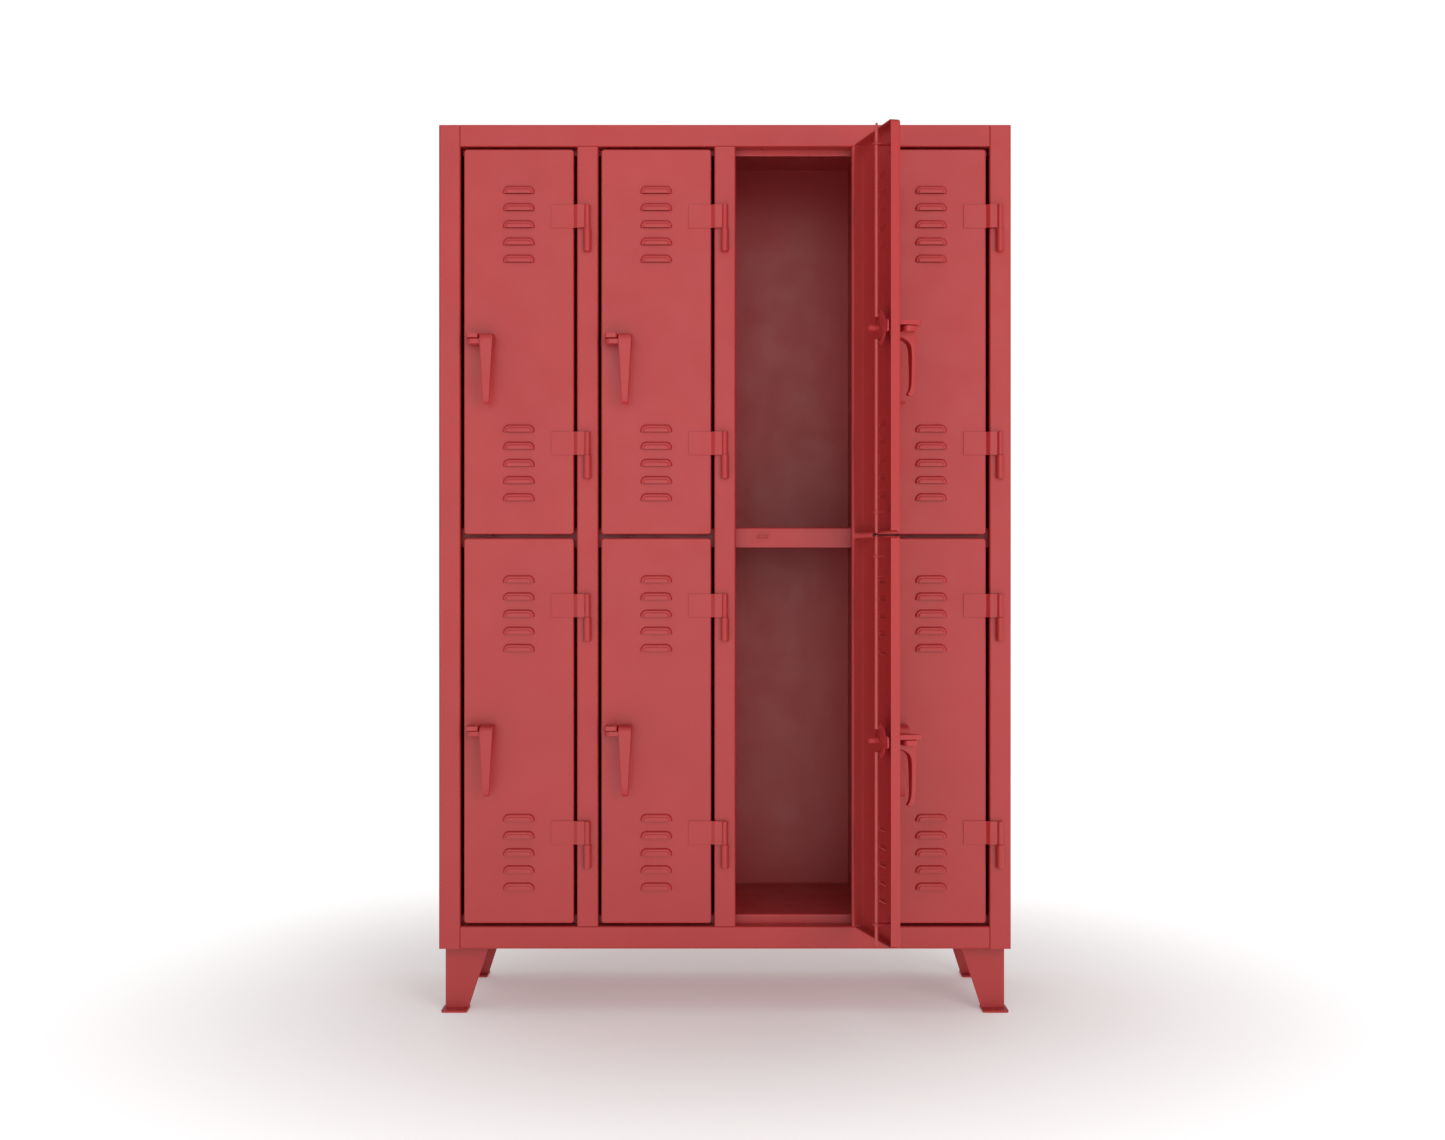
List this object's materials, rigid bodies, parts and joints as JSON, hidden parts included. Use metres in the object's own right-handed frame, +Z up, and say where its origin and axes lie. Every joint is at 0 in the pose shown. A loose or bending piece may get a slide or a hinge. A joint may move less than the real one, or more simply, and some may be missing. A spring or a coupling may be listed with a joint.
{
  "type": "school locker",
  "caption": "Free-standing heavy sheet-steel locker cabinet with louvred doors in two tiers, lever latches with rods, and gusset legs.",
  "frame": {"origin": "on the floor, midway between the four anchor holes, which is under the middle of the cabinet", "axes": "+X to the right of a person facing the doors, +Y from the doors to the back, +Z up"},
  "size_m": [1.27, 0.7429, 1.9748],
  "materials": {
    "cabinet_paint": "red powder coat, satin",
    "door_paint": "red powder coat, satin",
    "latch_paint": "red powder coat on cast and pressed steel, satin",
    "rod_paint": "red powder coat, thin, satin"
  },
  "bodies": {
    "cabinet": {"side_panels": "cabinet_paint", "back_panel": "cabinet_paint", "top_panel": "cabinet_paint", "header_rail": "cabinet_paint", "sill_rail": "cabinet_paint", "floor_panel": "cabinet_paint", "mullions": "cabinet_paint", "partitions": "cabinet_paint", "shelves": "cabinet_paint", "leg_rails": "cabinet_paint", "legs": "cabinet_paint", "hinge_pintles": "cabinet_paint"},
    "lower_door_1": {"lower_door_1": "door_paint", "lower_hinge_straps_1": "door_paint", "lower_latch_fittings_1": "door_paint"},
    "lower_handle_1": {"lower_handle_1": "latch_paint"},
    "lower_top_rod_1": {"lower_top_rod_1": "rod_paint"},
    "lower_bottom_rod_1": {"lower_bottom_rod_1": "rod_paint"},
    "lower_door_2": {"lower_door_2": "door_paint", "lower_hinge_straps_2": "door_paint", "lower_latch_fittings_2": "door_paint"},
    "lower_handle_2": {"lower_handle_2": "latch_paint"},
    "lower_top_rod_2": {"lower_top_rod_2": "rod_paint"},
    "lower_bottom_rod_2": {"lower_bottom_rod_2": "rod_paint"},
    "lower_door_3": {"lower_door_3": "door_paint", "lower_hinge_straps_3": "door_paint", "lower_latch_fittings_3": "door_paint"},
    "lower_handle_3": {"lower_handle_3": "latch_paint"},
    "lower_top_rod_3": {"lower_top_rod_3": "rod_paint"},
    "lower_bottom_rod_3": {"lower_bottom_rod_3": "rod_paint"},
    "lower_door_4": {"lower_door_4": "door_paint", "lower_hinge_straps_4": "door_paint", "lower_latch_fittings_4": "door_paint"},
    "lower_handle_4": {"lower_handle_4": "latch_paint"},
    "lower_top_rod_4": {"lower_top_rod_4": "rod_paint"},
    "lower_bottom_rod_4": {"lower_bottom_rod_4": "rod_paint"},
    "upper_door_1": {"upper_door_1": "door_paint", "upper_hinge_straps_1": "door_paint", "upper_latch_fittings_1": "door_paint"},
    "upper_handle_1": {"upper_handle_1": "latch_paint"},
    "upper_top_rod_1": {"upper_top_rod_1": "rod_paint"},
    "upper_bottom_rod_1": {"upper_bottom_rod_1": "rod_paint"},
    "upper_door_2": {"upper_door_2": "door_paint", "upper_hinge_straps_2": "door_paint", "upper_latch_fittings_2": "door_paint"},
    "upper_handle_2": {"upper_handle_2": "latch_paint"},
    "upper_top_rod_2": {"upper_top_rod_2": "rod_paint"},
    "upper_bottom_rod_2": {"upper_bottom_rod_2": "rod_paint"},
    "upper_door_3": {"upper_door_3": "door_paint", "upper_hinge_straps_3": "door_paint", "upper_latch_fittings_3": "door_paint"},
    "upper_handle_3": {"upper_handle_3": "latch_paint"},
    "upper_top_rod_3": {"upper_top_rod_3": "rod_paint"},
    "upper_bottom_rod_3": {"upper_bottom_rod_3": "rod_paint"},
    "upper_door_4": {"upper_door_4": "door_paint", "upper_hinge_straps_4": "door_paint", "upper_latch_fittings_4": "door_paint"},
    "upper_handle_4": {"upper_handle_4": "latch_paint"},
    "upper_top_rod_4": {"upper_top_rod_4": "rod_paint"},
    "upper_bottom_rod_4": {"upper_bottom_rod_4": "rod_paint"}
  },
  "joints": [
    {"name": "lower_door_1_swing", "type": "hinge", "parent": "cabinet", "child": "lower_door_1", "pos_m": [-0.3048, -0.2366, 0.63015], "axis": [0, 0, 1], "range_deg": [0, 135]},
    {"name": "lower_handle_1_turn", "type": "hinge", "parent": "lower_door_1", "child": "lower_handle_1", "pos_m": [-0.5247, -0.2286, 0.63015], "axis": [0, -1, 0], "range_deg": [0, 90]},
    {"name": "lower_top_rod_1_slide", "type": "slide", "parent": "lower_door_1", "child": "lower_top_rod_1", "axis": [0, 0, -1], "range_m": [0, 0.013]},
    {"name": "lower_bottom_rod_1_slide", "type": "slide", "parent": "lower_door_1", "child": "lower_bottom_rod_1", "axis": [0, 0, 1], "range_m": [0, 0.013]},
    {"name": "lower_door_2_swing", "type": "hinge", "parent": "cabinet", "child": "lower_door_2", "pos_m": [0, -0.2366, 0.63015], "axis": [0, 0, 1], "range_deg": [0, 135]},
    {"name": "lower_handle_2_turn", "type": "hinge", "parent": "lower_door_2", "child": "lower_handle_2", "pos_m": [-0.2199, -0.2286, 0.63015], "axis": [0, -1, 0], "range_deg": [0, 90]},
    {"name": "lower_top_rod_2_slide", "type": "slide", "parent": "lower_door_2", "child": "lower_top_rod_2", "axis": [0, 0, -1], "range_m": [0, 0.013]},
    {"name": "lower_bottom_rod_2_slide", "type": "slide", "parent": "lower_door_2", "child": "lower_bottom_rod_2", "axis": [0, 0, 1], "range_m": [0, 0.013]},
    {"name": "lower_door_3_swing", "type": "hinge", "parent": "cabinet", "child": "lower_door_3", "pos_m": [0.3048, -0.2366, 0.63015], "axis": [0, 0, 1], "range_deg": [-104, 31]},
    {"name": "lower_handle_3_turn", "type": "hinge", "parent": "lower_door_3", "child": "lower_handle_3", "pos_m": [0.35024, -0.4519, 0.63015], "axis": [0.9703, 0.2419, 0], "range_deg": [0, 90]},
    {"name": "lower_top_rod_3_slide", "type": "slide", "parent": "lower_door_3", "child": "lower_top_rod_3", "axis": [0, 0, -1], "range_m": [0, 0.013]},
    {"name": "lower_bottom_rod_3_slide", "type": "slide", "parent": "lower_door_3", "child": "lower_bottom_rod_3", "axis": [0, 0, 1], "range_m": [0, 0.013]},
    {"name": "lower_door_4_swing", "type": "hinge", "parent": "cabinet", "child": "lower_door_4", "pos_m": [0.6096, -0.2366, 0.63015], "axis": [0, 0, 1], "range_deg": [0, 180]},
    {"name": "lower_handle_4_turn", "type": "hinge", "parent": "lower_door_4", "child": "lower_handle_4", "pos_m": [0.3897, -0.2286, 0.63015], "axis": [0, -1, 0], "range_deg": [0, 90]},
    {"name": "lower_top_rod_4_slide", "type": "slide", "parent": "lower_door_4", "child": "lower_top_rod_4", "axis": [0, 0, -1], "range_m": [0, 0.013]},
    {"name": "lower_bottom_rod_4_slide", "type": "slide", "parent": "lower_door_4", "child": "lower_bottom_rod_4", "axis": [0, 0, 1], "range_m": [0, 0.013]},
    {"name": "upper_door_1_swing", "type": "hinge", "parent": "cabinet", "child": "upper_door_1", "pos_m": [-0.3048, -0.2366, 1.49355], "axis": [0, 0, 1], "range_deg": [0, 135]},
    {"name": "upper_handle_1_turn", "type": "hinge", "parent": "upper_door_1", "child": "upper_handle_1", "pos_m": [-0.5247, -0.2286, 1.49355], "axis": [0, -1, 0], "range_deg": [0, 90]},
    {"name": "upper_top_rod_1_slide", "type": "slide", "parent": "upper_door_1", "child": "upper_top_rod_1", "axis": [0, 0, -1], "range_m": [0, 0.013]},
    {"name": "upper_bottom_rod_1_slide", "type": "slide", "parent": "upper_door_1", "child": "upper_bottom_rod_1", "axis": [0, 0, 1], "range_m": [0, 0.013]},
    {"name": "upper_door_2_swing", "type": "hinge", "parent": "cabinet", "child": "upper_door_2", "pos_m": [0, -0.2366, 1.49355], "axis": [0, 0, 1], "range_deg": [0, 135]},
    {"name": "upper_handle_2_turn", "type": "hinge", "parent": "upper_door_2", "child": "upper_handle_2", "pos_m": [-0.2199, -0.2286, 1.49355], "axis": [0, -1, 0], "range_deg": [0, 90]},
    {"name": "upper_top_rod_2_slide", "type": "slide", "parent": "upper_door_2", "child": "upper_top_rod_2", "axis": [0, 0, -1], "range_m": [0, 0.013]},
    {"name": "upper_bottom_rod_2_slide", "type": "slide", "parent": "upper_door_2", "child": "upper_bottom_rod_2", "axis": [0, 0, 1], "range_m": [0, 0.013]},
    {"name": "upper_door_3_swing", "type": "hinge", "parent": "cabinet", "child": "upper_door_3", "pos_m": [0.3048, -0.2366, 1.49355], "axis": [0, 0, 1], "range_deg": [-104, 31]},
    {"name": "upper_handle_3_turn", "type": "hinge", "parent": "upper_door_3", "child": "upper_handle_3", "pos_m": [0.35024, -0.4519, 1.49355], "axis": [0.9703, 0.2419, 0], "range_deg": [0, 90]},
    {"name": "upper_top_rod_3_slide", "type": "slide", "parent": "upper_door_3", "child": "upper_top_rod_3", "axis": [0, 0, -1], "range_m": [0, 0.013]},
    {"name": "upper_bottom_rod_3_slide", "type": "slide", "parent": "upper_door_3", "child": "upper_bottom_rod_3", "axis": [0, 0, 1], "range_m": [0, 0.013]},
    {"name": "upper_door_4_swing", "type": "hinge", "parent": "cabinet", "child": "upper_door_4", "pos_m": [0.6096, -0.2366, 1.49355], "axis": [0, 0, 1], "range_deg": [0, 180]},
    {"name": "upper_handle_4_turn", "type": "hinge", "parent": "upper_door_4", "child": "upper_handle_4", "pos_m": [0.3897, -0.2286, 1.49355], "axis": [0, -1, 0], "range_deg": [0, 90]},
    {"name": "upper_top_rod_4_slide", "type": "slide", "parent": "upper_door_4", "child": "upper_top_rod_4", "axis": [0, 0, -1], "range_m": [0, 0.013]},
    {"name": "upper_bottom_rod_4_slide", "type": "slide", "parent": "upper_door_4", "child": "upper_bottom_rod_4", "axis": [0, 0, 1], "range_m": [0, 0.013]}
  ],
  "couplings": [
    {"joint": "lower_top_rod_1_slide", "follows": "lower_handle_1_turn", "m_per_rad": 0.008276},
    {"joint": "lower_bottom_rod_1_slide", "follows": "lower_handle_1_turn", "m_per_rad": 0.008276},
    {"joint": "lower_top_rod_2_slide", "follows": "lower_handle_2_turn", "m_per_rad": 0.008276},
    {"joint": "lower_bottom_rod_2_slide", "follows": "lower_handle_2_turn", "m_per_rad": 0.008276},
    {"joint": "lower_top_rod_3_slide", "follows": "lower_handle_3_turn", "m_per_rad": 0.008276},
    {"joint": "lower_bottom_rod_3_slide", "follows": "lower_handle_3_turn", "m_per_rad": 0.008276},
    {"joint": "lower_top_rod_4_slide", "follows": "lower_handle_4_turn", "m_per_rad": 0.008276},
    {"joint": "lower_bottom_rod_4_slide", "follows": "lower_handle_4_turn", "m_per_rad": 0.008276},
    {"joint": "upper_top_rod_1_slide", "follows": "upper_handle_1_turn", "m_per_rad": 0.008276},
    {"joint": "upper_bottom_rod_1_slide", "follows": "upper_handle_1_turn", "m_per_rad": 0.008276},
    {"joint": "upper_top_rod_2_slide", "follows": "upper_handle_2_turn", "m_per_rad": 0.008276},
    {"joint": "upper_bottom_rod_2_slide", "follows": "upper_handle_2_turn", "m_per_rad": 0.008276},
    {"joint": "upper_top_rod_3_slide", "follows": "upper_handle_3_turn", "m_per_rad": 0.008276},
    {"joint": "upper_bottom_rod_3_slide", "follows": "upper_handle_3_turn", "m_per_rad": 0.008276},
    {"joint": "upper_top_rod_4_slide", "follows": "upper_handle_4_turn", "m_per_rad": 0.008276},
    {"joint": "upper_bottom_rod_4_slide", "follows": "upper_handle_4_turn", "m_per_rad": 0.008276}
  ]
}
